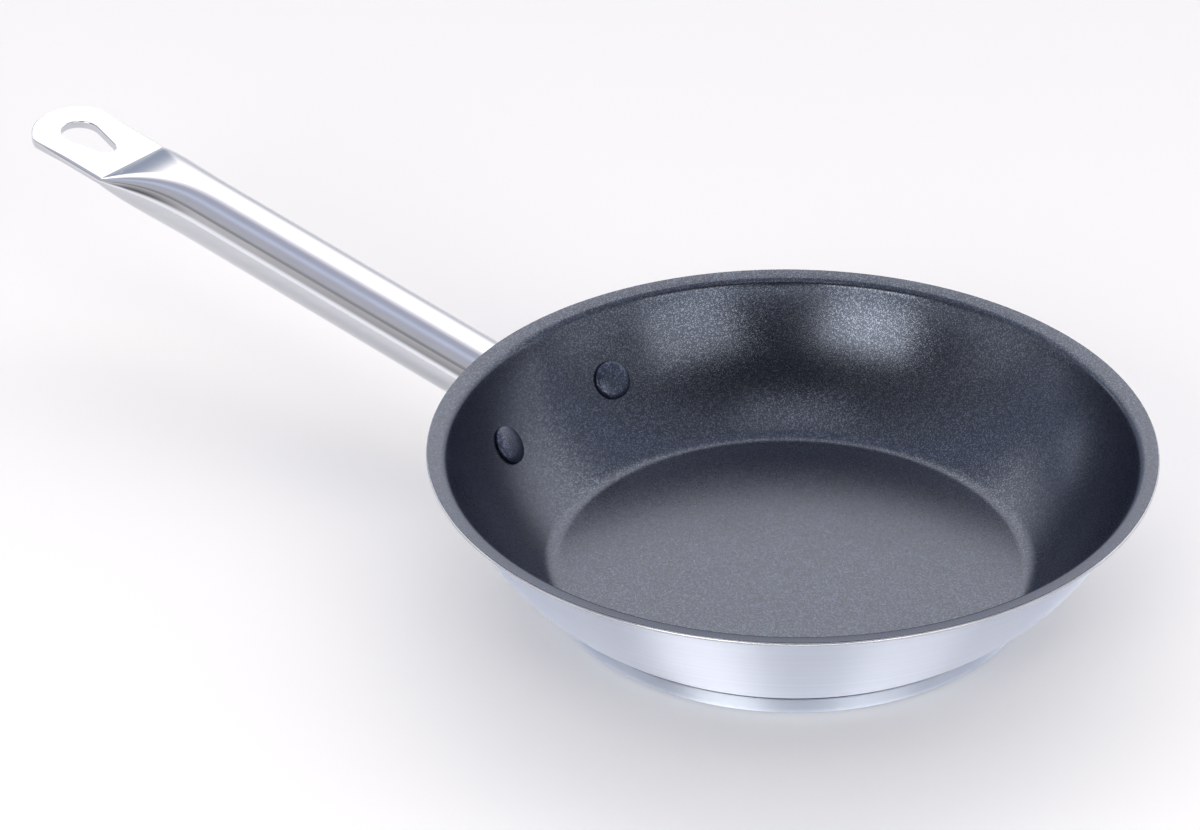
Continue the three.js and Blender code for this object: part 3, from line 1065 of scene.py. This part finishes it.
@dataclass
class Handle:
    """Bracket, tube and weld."""

    form: BowlForm
    rivets: Rivets
    mount_height: float
    rise: float = math.radians(10)
    grip_length: float = 0.1655
    tube_width: float = 0.0224
    tube_height: float = 0.0186
    tube_sheet: float = 0.0012
    crimp_length: float = 0.042
    crimp_ease: float = 3
    crease_ring: float = 0.99
    bore_end: float = 0.875
    tab_length: float = 0.0366
    tab_width: float = 0.0286
    tab_thickness: float = 0.0026
    tab_end_depth: float = 0.0125
    tab_trim: float = 0.0005
    tab_cut_radius: float = 0.0005
    hole_outer_radius: float = 0.0061
    hole_inner_radius: float = 0.0033
    hole_spread: float = 0.0105
    hole_land: float = 0.0084
    hole_edge: float = 0.0004
    bracket_land: float = 0.004
    bracket_edge: float = 0.0005
    weld_leg: float = 0.0025
    weld_crown: float = 0.0004
    weld_ripple: float = 0.0001
    weld_ripples: int = 60
    seat_gap: float = 0.00008
    fold_steps: int = 8
    flat_steps: int = 48
    bend_steps: int = 256
    grip_rings: int = 10
    crimp_rings: int = 44
    side_steps: int = 36
    end_steps: int = 72
    plate_rings: tuple[float, ...] = (0.03, 0.25, 0.5, 0.75, 0.95)
    bracket_turns: int = 224
    bracket_rings: int = 14
    weld_turns: int = 352
    weld_bulge_steps: int = 6

    @cached_property
    def place(self) -> Matrix:
        """Transform from the handle's frame: +X runs out along the tube and +Z is its upper side."""
        reach = self.form.outside_radius(self.mount_height) + self.rivets.bracket_face
        level, steep = math.cos(self.rise), math.sin(self.rise)
        axes = Matrix(((-level, 0, steep), (0, -1, 0), (steep, 0, level)))
        return Matrix.Translation((-reach, 0, self.mount_height)) @ axes.to_4x4()

    @property
    def cope_face(self) -> float:
        """Radius of the arc that the tube's foot is coped to."""
        return self.form.wall.radius + self.rivets.bracket_face + self.seat_gap

    @property
    def half_tab(self) -> Rows:
        """Half of the tab's width and thickness."""
        return np.array([self.tab_width, self.tab_thickness]) / 2

    @property
    def half_tube(self) -> Rows:
        """Half of the tube's width and height."""
        return np.array([self.tube_width, self.tube_height]) / 2

    def build(self, effects: SharedEffects) -> None:
        """Builds and dresses the bracket, the tube and the weld.

        Args:
            effects: the shared groups.
        """
        steel = HANDLE_STEEL.build(effects, self.rise)
        bracket = self.rivets.bore(self._bracket().mesh("bracket_plate"))
        install(bracket, "handle_bracket", [steel])
        tube = self._tube().moved(self.place).mesh("grip_tube")
        install(tube, "handle_tube", [steel])
        weld = self._weld().moved(self.place).mesh("weld_bead")
        install(weld, "handle_weld", [WELD_STEEL.build(effects, self.rise)])

    def _to_pan(self, points: Rows) -> Rows:
        """Moves rows from the handle's frame to the pan's."""
        matrix = np.array(self.place)
        return points @ matrix[:3, :3].T + matrix[:3, 3]

    def _cope(self, section: Rows) -> Rows:
        """Slides the points of a section along the tube to the coped foot."""
        reach = np.full(len(section), self.tube_height)

        def inside(along: Rows) -> Rows:
            """Tests whether points at these places along the tube lie within the cope."""
            return self.form.wall_distance(self._to_pan(np.c_[along, section[:, 1:]])) < self.cope_face

        return np.c_[halve(inside, -reach, reach), section[:, 1:]]

    @cached_property
    def girth_shares(self) -> Rows:
        """Places of a section's points as shares of its upper half, close together in the tab's folds."""
        half, fold = self.half_tab
        bend, flat = fold * math.pi / 2, 2 * (half - fold)
        near = np.linspace(0, bend, self.fold_steps + 1)
        top = np.linspace(bend, bend + flat, self.flat_steps + 1)
        places = np.r_[near[:-1], top, bend + flat + near[1:]]
        return places / places[-1]

    def _section(self, along: float, flatness: float, less: float) -> Rows:
        """Gives the section of the tube: oval at flatness 0, then flat topped, and folded flat at 1.

        Args:
            along: place along the tube.
            flatness: share of the crimp.
            less: skin taken off the outside.

        Returns:
            Rows of three coordinates. The sheet keeps its girth, so the section widens as it flattens.
        """
        grip = 1 - flatness**self.crimp_ease
        tab, tube = self.half_tab, self.half_tube
        girth = tab @ tab + (tube @ tube - tab @ tab) * grip
        end = tab[1] + (tube - tab[1]) * grip
        flat = math.sqrt(girth - end[1] ** 2) - end[0]
        bend = np.linspace(0, math.pi / 2, self.bend_steps + 1)
        out = flat + (end[0] - less) * np.cos(bend)
        rise = (end[1] - less) * np.sin(bend)
        across = np.r_[out, -out[::-1]]
        height = np.r_[rise, rise[::-1]]
        run = np.r_[0, np.cumsum(np.hypot(np.diff(across), np.diff(height)))]
        places = self.girth_shares * run[-1]
        upper = np.c_[np.interp(places, run, across), np.interp(places, run, height)]
        ring = np.vstack([upper, upper[-2:0:-1] * (1, -1)])
        return np.c_[np.full(len(ring), along), ring]

    def _skin(self, surface: Surface, less: float, last: float) -> list[list[int]]:
        """Lays the rings of one face of the tube from its coped foot into the crimp.

        Args:
            surface: the surface to add to.
            less: skin taken off the outside.
            last: flatness of the last ring.

        Returns:
            The numbers of each ring's points.
        """
        start = self.grip_length - self.crimp_length
        oval = self._section(start, 0, less)
        foot = self._cope(oval)
        rings = [surface.add(foot + (oval - foot) * share) for share in np.linspace(0, 1, self.grip_rings)]
        shares = np.linspace(0, last, self.crimp_rings + 1)[1:]
        if last == 1:
            shares = np.r_[shares[:-1], (1 + shares[-2]) / 2, self.crease_ring, 1]
        for flatness in shares:
            rings.append(surface.add(self._section(start + self.crimp_length * flatness, flatness, less)))
        return rings

    def _tube(self) -> Surface:
        """Builds the tube with its bore, and the tab with its hanging hole."""
        surface = Surface()
        outer = self._skin(surface, 0, 1)
        inner = self._skin(surface, self.tube_sheet, self.bore_end)
        surface.bridge_all(outer)
        surface.bridge_all(inner)
        surface.bridge(outer[0], inner[0])
        end = np.mean([surface.points[i] for i in inner[-1]], axis=0)
        surface.bridge(inner[-1], surface.add([end]))
        self._tab(surface, outer[-1])
        return surface

    def _tab_outline(self) -> tuple[Rows, Rows, Rows]:
        """Traces the tab's edge from the crease round the end and back.

        Returns:
            Rows of plan coordinates, outward directions and edge radii.
        """
        half, fold = self.half_tab
        wide = half + self.tab_trim
        shoulder = self.grip_length + self.tab_length - self.tab_end_depth
        corner = math.asin(half / wide)
        sweep = np.linspace(-corner, corner, self.end_steps + 1)
        end = np.c_[shoulder + self.tab_end_depth * np.cos(sweep), wide * np.sin(sweep)]
        away = np.c_[np.cos(sweep) / self.tab_end_depth, np.sin(sweep) / wide]
        away = away / np.linalg.norm(away, axis=1)[:, None]
        run = np.linspace(self.grip_length, end[0, 0], self.side_steps + 1)[:-1]
        near = np.c_[run, np.full(len(run), -half)]
        path = np.vstack([near, end, near[::-1] * (1, -1)])
        down = np.tile([0.0, -1.0], (len(run), 1))
        outward = np.vstack([down, away, -down])
        middle = run[len(run) // 2]
        cut = smoothstep((path[:, 0] - middle) / (end[0, 0] - middle))
        return path, outward, fold + (self.tab_cut_radius - fold) * cut

    def _tab(self, surface: Surface, crease: list[int]) -> None:
        """Adds the flat tab beyond the crease.

        Args:
            surface: the surface to add to.
            crease: numbers of the last ring's points.
        """
        path, outward, radii = self._tab_outline()
        thick = self.half_tab[1]
        folds, flats, count = self.fold_steps, self.flat_steps, len(crease)
        lean = np.linspace(math.pi / 2, -math.pi / 2, 2 * folds + 1)
        columns = []
        for spot, away, radius in zip(path[1:-1], outward[1:-1], radii[1:-1]):
            plan = spot + (radius * (np.cos(lean) - 1))[:, None] * away
            rise = np.sin(lean)
            level = np.sign(np.round(rise, SIGN_DECIMALS)) * (thick - radius) + radius * rise
            columns.append(surface.add(np.c_[plan, level]))
        first = [crease[folds + flats + j] for j in range(2 * folds + 1)]
        last = [crease[(folds - j) % count] for j in range(2 * folds + 1)]
        strip = [first, *columns, last]
        for column, after in zip(strip, strip[1:]):
            surface.bridge(column, after, closed=False)
        over = [crease[i] for i in range(folds, folds + flats + 1)] + [column[0] for column in columns]
        under = [crease[-i] for i in range(folds, folds + flats + 1)] + [column[-1] for column in columns]
        walls = [self._plate(surface, over, 1), self._plate(surface, under, -1)]
        surface.bridge(walls[0], walls[1])

    def _plate(self, surface: Surface, edge: list[int], side: int) -> list[int]:
        """Adds one face of the tab with the rounded edge of its hole.

        Args:
            surface: the surface to add to.
            edge: numbers of the points round the face.
            side: 1 for the upper face, -1 for the lower one.

        Returns:
            The numbers of the points on the hole's wall.
        """
        thick = self.half_tab[1]
        outer = np.array([self.grip_length + self.tab_length - self.hole_land - self.hole_outer_radius, 0])
        inner = outer - (self.hole_spread, 0)
        middle = (outer + inner) / 2
        plan = np.array([surface.points[i][:2] for i in edge])
        ways = plan - middle
        reach = np.linalg.norm(ways, axis=1)
        ways = ways / reach[:, None]

        def hole(offset: float) -> Rows:
            """Traces the hole's outline moved outwards by an offset, one point on each way."""
            radii = self.hole_outer_radius + offset, self.hole_inner_radius + offset

            def inside(run: Rows) -> Rows:
                """Tests whether points at these distances lie in the hole."""
                return belt_distance(middle + run[:, None] * ways, outer, radii[0], inner, radii[1]) < 0

            return middle + halve(inside, np.zeros(len(ways)), reach)[:, None] * ways

        mouth = hole(self.hole_edge)
        level = np.full(len(plan), side * thick)
        rows = [edge]
        for share in self.plate_rings:
            rows.append(surface.add(np.c_[plan + share * (mouth - plan), level]))
        for turn in np.linspace(0, math.pi / 2, self.fold_steps + 1):
            drop = self.hole_edge * (1 - math.cos(turn))
            ring = hole(self.hole_edge * (1 - math.sin(turn)))
            rows.append(surface.add(np.c_[ring, level - side * drop]))
        surface.bridge_all(rows)
        return rows[-1]

    def _bracket(self) -> Surface:
        """Builds the plate bent to the wall, its outline a belt round the tube's foot and the rivets."""
        rivets = self.rivets
        hub = np.array([0, self.mount_height])
        hub_radius = self.tube_height / 2 + self.weld_leg + self.bracket_land
        wing_radius = rivets.tail_radius + self.bracket_land
        turns = np.linspace(0, 2 * math.pi, self.bracket_turns, endpoint=False)
        ways = np.c_[np.cos(turns), np.sin(turns)]

        def reach(inset: float) -> Rows:
            """Distance from the hub to the outline on each way, the outline drawn in by an inset."""

            def inside(run: Rows) -> Rows:
                """Tests whether points at these distances lie on the plate."""
                spots = hub + run[:, None] * ways
                belts = [
                    belt_distance(spots, hub, hub_radius, np.array([wing, rivets.height]), wing_radius)
                    for wing in (-rivets.spacing / 2, rivets.spacing / 2)
                ]
                return np.minimum(*belts) < -inset

            return halve(inside, np.zeros(len(ways)), np.full(len(ways), rivets.spacing))

        surface = Surface()
        whole, drawn_in = reach(0), reach(self.bracket_edge)
        bends = np.linspace(0, math.pi / 2, self.fold_steps + 1)
        shares = np.linspace(0, 1, self.bracket_rings + 1)[1:]

        def lay(run: Rows, offset: float) -> list[int]:
            """Adds a ring at these distances from the hub and this offset from the wall."""
            spots = hub + run[:, None] * ways
            return surface.add(self.form.wall_point(spots[:, 0], spots[:, 1], np.full(len(run), offset)))

        front, back = rivets.bracket_face, self.seat_gap
        rows = [surface.add(self.form.wall_point(hub[:1], hub[1:], np.array([front])))]
        rows += [lay(share * drawn_in, front) for share in shares]
        for bend in bends[1:]:
            run = drawn_in + (whole - drawn_in) * math.sin(bend)
            rows.append(lay(run, front - self.bracket_edge * (1 - math.cos(bend))))
        rows.append(lay(whole, back))
        rows += [lay(share * drawn_in, back) for share in shares[::-1]]
        rows.append(surface.add(self.form.wall_point(hub[:1], hub[1:], np.array([back]))))
        surface.bridge_all(rows)
        return surface

    def _weld(self) -> Surface:
        """Builds the rippled fillet weld round the foot of the tube."""
        turns = np.linspace(0, 2 * math.pi, self.weld_turns, endpoint=False)
        half_width, half_height = self.half_tube + self.seat_gap
        ring = np.c_[np.zeros(len(turns)), half_width * np.cos(turns), half_height * np.sin(turns)]
        root = self._cope(ring)
        to_handle = np.array(self.place)[:3, :3]
        normal = self.form.wall_normal(self._to_pan(root)) @ to_handle
        away = np.c_[np.zeros(len(turns)), np.cos(turns) / half_width, np.sin(turns) / half_height]
        away = away / np.linalg.norm(away, axis=1)[:, None]
        on_plate = away - normal * np.sum(away * normal, axis=1)[:, None]
        on_plate = on_plate / np.linalg.norm(on_plate, axis=1)[:, None]
        start = root + self.weld_leg * np.array([1, 0, 0])
        end = root + self.weld_leg * on_plate
        outward = (start + end) / 2 - root
        outward = outward / np.linalg.norm(outward, axis=1)[:, None]
        wave = np.abs(np.sin(turns * self.weld_ripples / 2))[:, None]
        surface = Surface()
        rows = [surface.add(root), surface.add(start)]
        for share in np.linspace(0, 1, self.weld_bulge_steps + 1)[1:-1]:
            crown = (self.weld_crown + self.weld_ripple * (wave - 1)) * math.sin(math.pi * share)
            rows.append(surface.add(start + (end - start) * share + outward * crown))
        rows.append(surface.add(end))
        surface.bridge_all(rows, looped=True)
        return surface


# Studio


@dataclass(frozen=True)
class Viewpoint:
    """Camera at the photograph's viewing angle."""

    place: tuple[float, float, float] = (0.552786, -0.762803, 0.601893)
    heading: float = math.radians(-39.11)
    dip: float = math.radians(30.24)
    roll: float = math.radians(-0.78)
    lens: float = 120
    sensor: float = 36

    @property
    def front(self) -> Vector:
        """Level direction from the pan to the camera."""
        return Vector((self.place[0], self.place[1], 0)).normalized()

    @property
    def left(self) -> Vector:
        """Level direction to the left as the camera sees it."""
        return Vector((self.front.y, -self.front.x, 0))

    def build(self) -> None:
        """Makes the camera and sets it as the scene's."""
        data = bpy.data.cameras.new("viewpoint")
        data.lens = self.lens
        data.sensor_width = self.sensor
        camera = bpy.data.objects.new("viewpoint", data)
        sight = Vector((math.sin(self.heading), math.cos(self.heading), 0)) * math.cos(self.dip)
        sight.z = -math.sin(self.dip)
        right = Vector((math.cos(self.heading), -math.sin(self.heading), 0))
        above = right.cross(sight)
        rolled_right = right * math.cos(self.roll) + above * math.sin(self.roll)
        rolled_above = above * math.cos(self.roll) - right * math.sin(self.roll)
        axes = Matrix((rolled_right, rolled_above, -sight)).transposed()
        camera.matrix_world = Matrix.Translation(self.place) @ axes.to_4x4()
        bpy.context.scene.collection.objects.link(camera)
        bpy.context.scene.camera = camera


@dataclass(frozen=True)
class Softbox:
    """Area lamp that faces the pan, placed by its bearing from the camera's."""

    name: str
    bearing: float
    height: float
    width: float
    depth: float
    radiance: float
    colour: Colour = (1, 1, 1)
    distance: float = 1.6

    def build(self, view: Viewpoint) -> None:
        """Makes the lamp.

        Args:
            view: the camera that its bearing is taken from.
        """
        bearing, height = math.radians(self.bearing), math.radians(self.height)
        level = view.front * math.cos(bearing) + view.left * math.sin(bearing)
        way = level * math.cos(height) + Vector((0, 0, math.sin(height)))
        data = bpy.data.lights.new(self.name, "AREA")
        data.shape = "RECTANGLE"
        data.size, data.size_y = self.width, self.depth
        data.energy = self.radiance * math.pi * self.width * self.depth
        data.color = self.colour
        lamp = bpy.data.objects.new(self.name, data)
        lamp.location = way * self.distance
        lamp.rotation_mode = "QUATERNION"
        lamp.rotation_quaternion = way.to_track_quat("Z", "Y")
        lamp.visible_camera = False
        bpy.context.scene.collection.objects.link(lamp)


@dataclass(frozen=True)
class Studio:
    """Light tent over a pale table, with softboxes in front, overhead and at the far left."""

    view: Viewpoint
    level: float = 0.68
    camera_shade: float = 0.97
    camera_shade_ahead: Span = (0.20, 0.56)
    camera_shade_height: Span = (0.1, 0.35)
    far_side: Span = (-0.3, 0)
    left_shade: float = 0.8
    left_shade_aside: Span = (0.15, 0.27)
    left_shade_height: Span = (0.3, 0.6)
    horizon_shade: float = 0.78
    horizon_shade_height: Span = (0.05, 0.60)
    shade_colour: Colour = (0.46, 0.56, 0.74)
    floor_radius: float = 4.0
    floor_segments: int = 64
    floor_colour: Colour = (0.94, 0.94, 0.94)
    tent: tuple[tuple[float, Colour], ...] = (
        (0, (2.02, 1.98, 2.00)),
        (30, (2.10, 2.08, 2.12)),
        (47, (1.86, 1.80, 1.80)),
        (61, (1.42, 1.36, 1.32)),
        (64, (0.65, 0.65, 0.68)),
        (69, (0.65, 0.66, 0.70)),
        (73, (0.97, 0.95, 1.00)),
        (88, (0.94, 0.95, 1.05)),
        (96, (1.20, 1.27, 1.54)),
        (104, (0.84, 0.89, 1.06)),
        (111, (0.92, 0.92, 1.06)),
        (118, (1.80, 1.75, 1.80)),
        (126, (3.30, 3.16, 3.06)),
        (180, (3.75, 3.49, 3.30)),
    )
    softboxes: tuple[Softbox, ...] = (
        Softbox("left_softbox", 28, 28, 0.80, 0.62, 5.0, (1, 0.955, 0.895)),
        Softbox("right_softbox", -38, 27, 0.85, 0.72, 2.8, (1, 0.965, 0.915)),
        Softbox("top_softbox", 2, 71, 0.78, 0.40, 0.95),
        Softbox("front_strip", 0, 6, 2.2, 0.16, 4.0),
        Softbox("side_softbox", 124, 9, 0.45, 0.35, 1.3),
    )

    def build(self) -> None:
        """Makes the camera, the world, the lamps and the floor."""
        scene = bpy.context.scene
        scene.view_settings.view_transform = "Standard"
        self.view.build()
        scene.world = self._world()
        for softbox in self.softboxes:
            softbox.build(self.view)
        mesh = bpy.data.meshes.new("table")
        turns = np.linspace(0, 2 * math.pi, self.floor_segments, endpoint=False)
        ring = np.c_[np.cos(turns), np.sin(turns), np.zeros(len(turns))] * self.floor_radius
        mesh.from_pydata(ring.tolist(), [], [tuple(range(len(ring)))])
        mesh.materials.append(self._floor_finish())
        table = bpy.data.objects.new("table", mesh)
        scene.collection.objects.link(table)

    def _floor_finish(self) -> Material:
        """Plain pale matt finish."""
        material, graph = new_material("table_top")
        shader = graph.node("ShaderNodeBsdfDiffuse", {"Color": (*self.floor_colour, 1)})
        graph.node("ShaderNodeOutputMaterial", {"Surface": shader.outputs[0]})
        return material

    def _world(self) -> bpy.types.World:
        """Light tent: bands that run from the camera's side over the top to the far side."""
        world = bpy.data.worlds.new("light_tent")
        world.use_nodes = True
        graph = Graph(world.node_tree)
        way = graph.node("ShaderNodeTexCoord").outputs["Generated"]
        ahead = graph.measure("DOT_PRODUCT", way, self.view.front)
        aside = graph.measure("DOT_PRODUCT", way, self.view.left)
        height = graph.node("ShaderNodeSeparateXYZ", {"Vector": way}).outputs["Z"]
        turn = graph.math("DIVIDE", graph.math("ARCTAN2", height, ahead), math.pi)
        bands = graph.node("ShaderNodeValToRGB", {"Fac": turn})
        ramp = bands.color_ramp
        for number, (angle, colour) in enumerate(self.tent):
            place = math.radians(angle) / math.pi
            if number < len(ramp.elements):
                stop = ramp.elements[number]
                stop.position = place
            else:
                stop = ramp.elements.new(place)
            stop.color = (*colour, 1)
        # The far side is shaded low on the left and along the horizon, the near side above the horizon.
        far = graph.remap(ahead, self.far_side, 1, 0)
        low = graph.math("MULTIPLY", far, graph.remap(height, self.left_shade_height, 1, 0))
        left = graph.remap(aside, self.left_shade_aside, 0, self.left_shade)
        horizon = graph.remap(height, self.horizon_shade_height, self.horizon_shade, 0)
        colour = bands.outputs["Color"]
        for share, shade in ((low, left), (far, horizon)):
            colour = graph.mix(graph.math("MULTIPLY", share, shade), colour, self.shade_colour)
        near = graph.remap(ahead, self.camera_shade_ahead, 0, self.camera_shade)
        shade = graph.math("MULTIPLY", graph.remap(height, self.camera_shade_height, 0, 1), near)
        strength = graph.math("MULTIPLY", graph.math("SUBTRACT", 1, shade), self.level)
        lit = graph.node("ShaderNodeBackground", {"Color": colour, "Strength": strength})
        graph.node("ShaderNodeOutputWorld", {"Surface": lit.outputs[0]})
        return world


def main() -> None:
    """Builds the studio and the pan."""
    logging.basicConfig(level=logging.INFO, format="%(name)s: %(message)s")
    shell_low, shell_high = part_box("pan_shell")
    form = BowlForm(rim_radius=shell_high.x, underside=shell_low.z)
    bowl = Bowl(form)
    mount_height = (form.underside + form.lip_root[1]) / 2
    rivets = Rivets(form, mount_height, bowl.lining_face)
    handle = Handle(form, rivets, mount_height)
    base = Base(form, radius=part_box("base_capsule")[1].x)
    Studio(Viewpoint()).build()
    effects = SharedEffects()
    bowl.build(rivets, effects, handle.rise)
    base.build(effects, handle.rise)
    rivets.build(effects, handle.rise)
    handle.build(effects)


if __name__ == "__main__":
    main()
